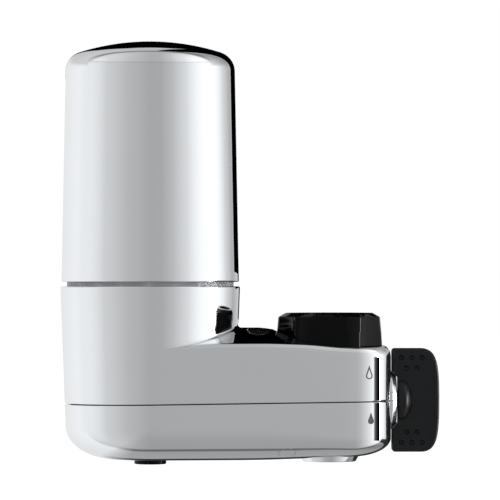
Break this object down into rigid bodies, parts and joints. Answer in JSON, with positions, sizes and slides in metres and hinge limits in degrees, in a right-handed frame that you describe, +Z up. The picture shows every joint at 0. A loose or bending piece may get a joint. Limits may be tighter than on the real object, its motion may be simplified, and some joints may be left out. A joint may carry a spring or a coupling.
{
  "type": "faucet mount water filter",
  "caption": "Faucet-mounted water filter: chrome cartridge canister on a base arm with a threaded mounting collar, diverter lever and separate filtered and bypass outlets.",
  "frame": {"origin": "on the mounting collar's axis, in the upper face of the faucet washer, where the tap's end sits", "axes": "+Z up along the collar's axis, +X from the canister towards the lever, front face towards -Y"},
  "size_m": [0.1362, 0.0648, 0.1519],
  "materials": {
    "chrome_shell": "bright chrome plate",
    "steel": "plain stainless steel",
    "white_plastic": "moulded, matte",
    "grey_plastic": "moulded, matte",
    "rubber": "moulded, matte",
    "carbon": "pressed carbon, matte",
    "felt": "non-woven felt",
    "tube_plastic": "extruded, satin",
    "gloss_black": "moulded, glossy",
    "satin_black": "moulded, satin",
    "brass": "turned brass",
    "lens": "smoked, clear and glossy",
    "led": "clear moulded",
    "board": "solder mask"
  },
  "bodies": {
    "base": {"upper_shell": "chrome_shell", "lower_shell": "chrome_shell", "shell_screw_1": "steel", "shell_screw_2": "steel", "shell_screw_3": "steel", "cartridge_socket": "grey_plastic", "feed_tube": "tube_plastic", "filtered_nozzle": "gloss_black", "outlet_ring": "chrome_shell", "spray_plate": "grey_plastic", "valve_body": "grey_plastic", "valve_bonnet": "grey_plastic", "inlet_stem": "brass", "faucet_washer": "rubber", "inlet_screen": "steel", "indicator_lens": "lens", "status_led": "led", "indicator_board": "board", "button_cell": "steel", "indicator_cover": "gloss_black"},
    "collar": {"collar": "gloss_black"},
    "lever": {"lever": "satin_black", "valve_spindle": "white_plastic", "spindle_seal_inner": "rubber", "spindle_seal_outer": "rubber"},
    "cartridge": {"canister_shell": "chrome_shell", "cartridge_vessel": "white_plastic", "cartridge_base": "grey_plastic", "neck_seal": "rubber", "spigot_seal": "rubber", "carbon_block": "carbon", "prefilter_sleeve": "felt", "carbon_top_cap": "white_plastic", "carbon_bottom_cap": "white_plastic"},
    "release_button": {"release_button": "satin_black", "button_spring": "steel"}
  },
  "joints": [
    {"name": "collar_spin", "type": "hinge", "parent": "base", "child": "collar", "pos_m": [0, 0, 0], "axis": [0, 0, 1], "continuous": true},
    {"name": "lever_turn", "type": "hinge", "parent": "base", "child": "lever", "pos_m": [0, 0, -0.0257], "axis": [1, 0, 0], "range_deg": [-60, 60]},
    {"name": "cartridge_lift", "type": "slide", "parent": "base", "child": "cartridge", "axis": [0, 0, 1], "range_m": [0, 0.03]},
    {"name": "release_button_press", "type": "slide", "parent": "base", "child": "release_button", "axis": [0, -1, 0], "range_m": [0, 0.0015], "stiffness_N_per_m": 300, "deforming": ["button_spring"]}
  ]
}
